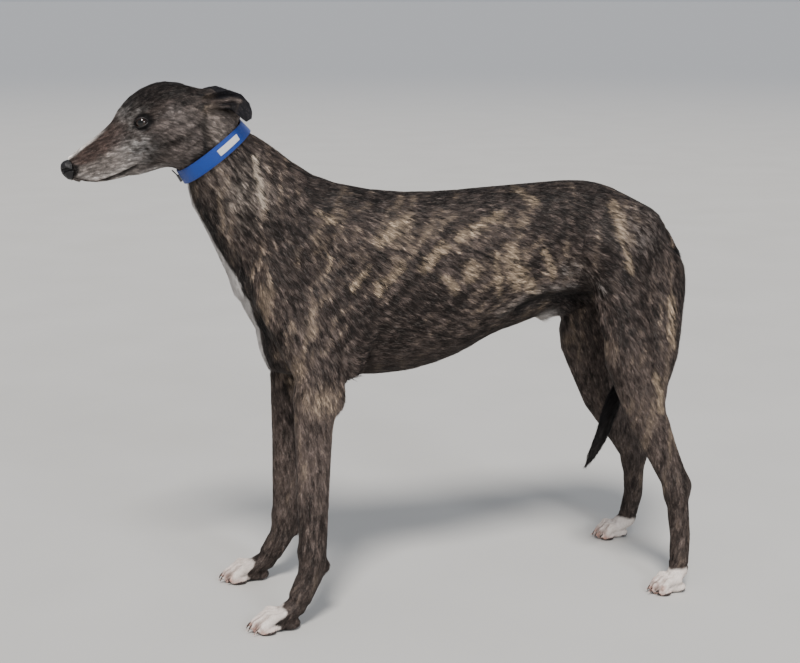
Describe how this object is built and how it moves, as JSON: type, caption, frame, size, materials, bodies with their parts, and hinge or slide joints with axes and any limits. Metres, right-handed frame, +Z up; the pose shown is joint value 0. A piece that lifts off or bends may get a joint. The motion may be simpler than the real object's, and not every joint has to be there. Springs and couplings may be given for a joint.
{
  "type": "greyhound",
  "caption": "Life-size model of a short-haired greyhound that stands still on all four feet and wears a flat collar.",
  "frame": {"origin": "on the floor under the middle of the whole body's box", "axes": "+X towards the nose, +Y to the dog's left, +Z up"},
  "size_m": [1.084, 0.3304, 0.8945],
  "materials": {
    "body_coat": "short flat hair, dark brindle",
    "face_coat": "very short hair, dark with a grey muzzle",
    "ear_coat": "very short near-black hair",
    "tail_coat": "short black hair",
    "paw_coat": "short white hair with dark claws and pads",
    "nose_leather": "pebbled, half gloss",
    "eye": "wet gloss, dark brown",
    "collar": "satin blue webbing",
    "collar_label": "plain white woven label, blank",
    "collar_ring": "dark, half gloss"
  },
  "bodies": {
    "root": {"shoulder_left": "body_coat", "thigh_left": "body_coat", "shoulder_right": "body_coat", "thigh_right": "body_coat", "chest": "body_coat", "belly": "body_coat", "rump": "body_coat", "neck": "body_coat", "forearm_left": "body_coat", "pastern_left": "body_coat", "shank_left": "body_coat", "hock_left": "body_coat", "forepaw_left": "paw_coat", "hindpaw_left": "paw_coat", "forearm_right": "body_coat", "pastern_right": "body_coat", "shank_right": "body_coat", "hock_right": "body_coat", "forepaw_right": "paw_coat", "hindpaw_right": "paw_coat", "nose": "nose_leather", "lower_jaw": "face_coat", "eye_left": "eye", "eye_right": "eye", "head": "face_coat", "ear_left": "ear_coat", "ear_right": "ear_coat", "collar": "collar", "collar_label": "collar_label", "collar_ring": "collar_ring", "tail_lower": "tail_coat", "tail_upper": "tail_coat"}
  },
  "joints": []
}
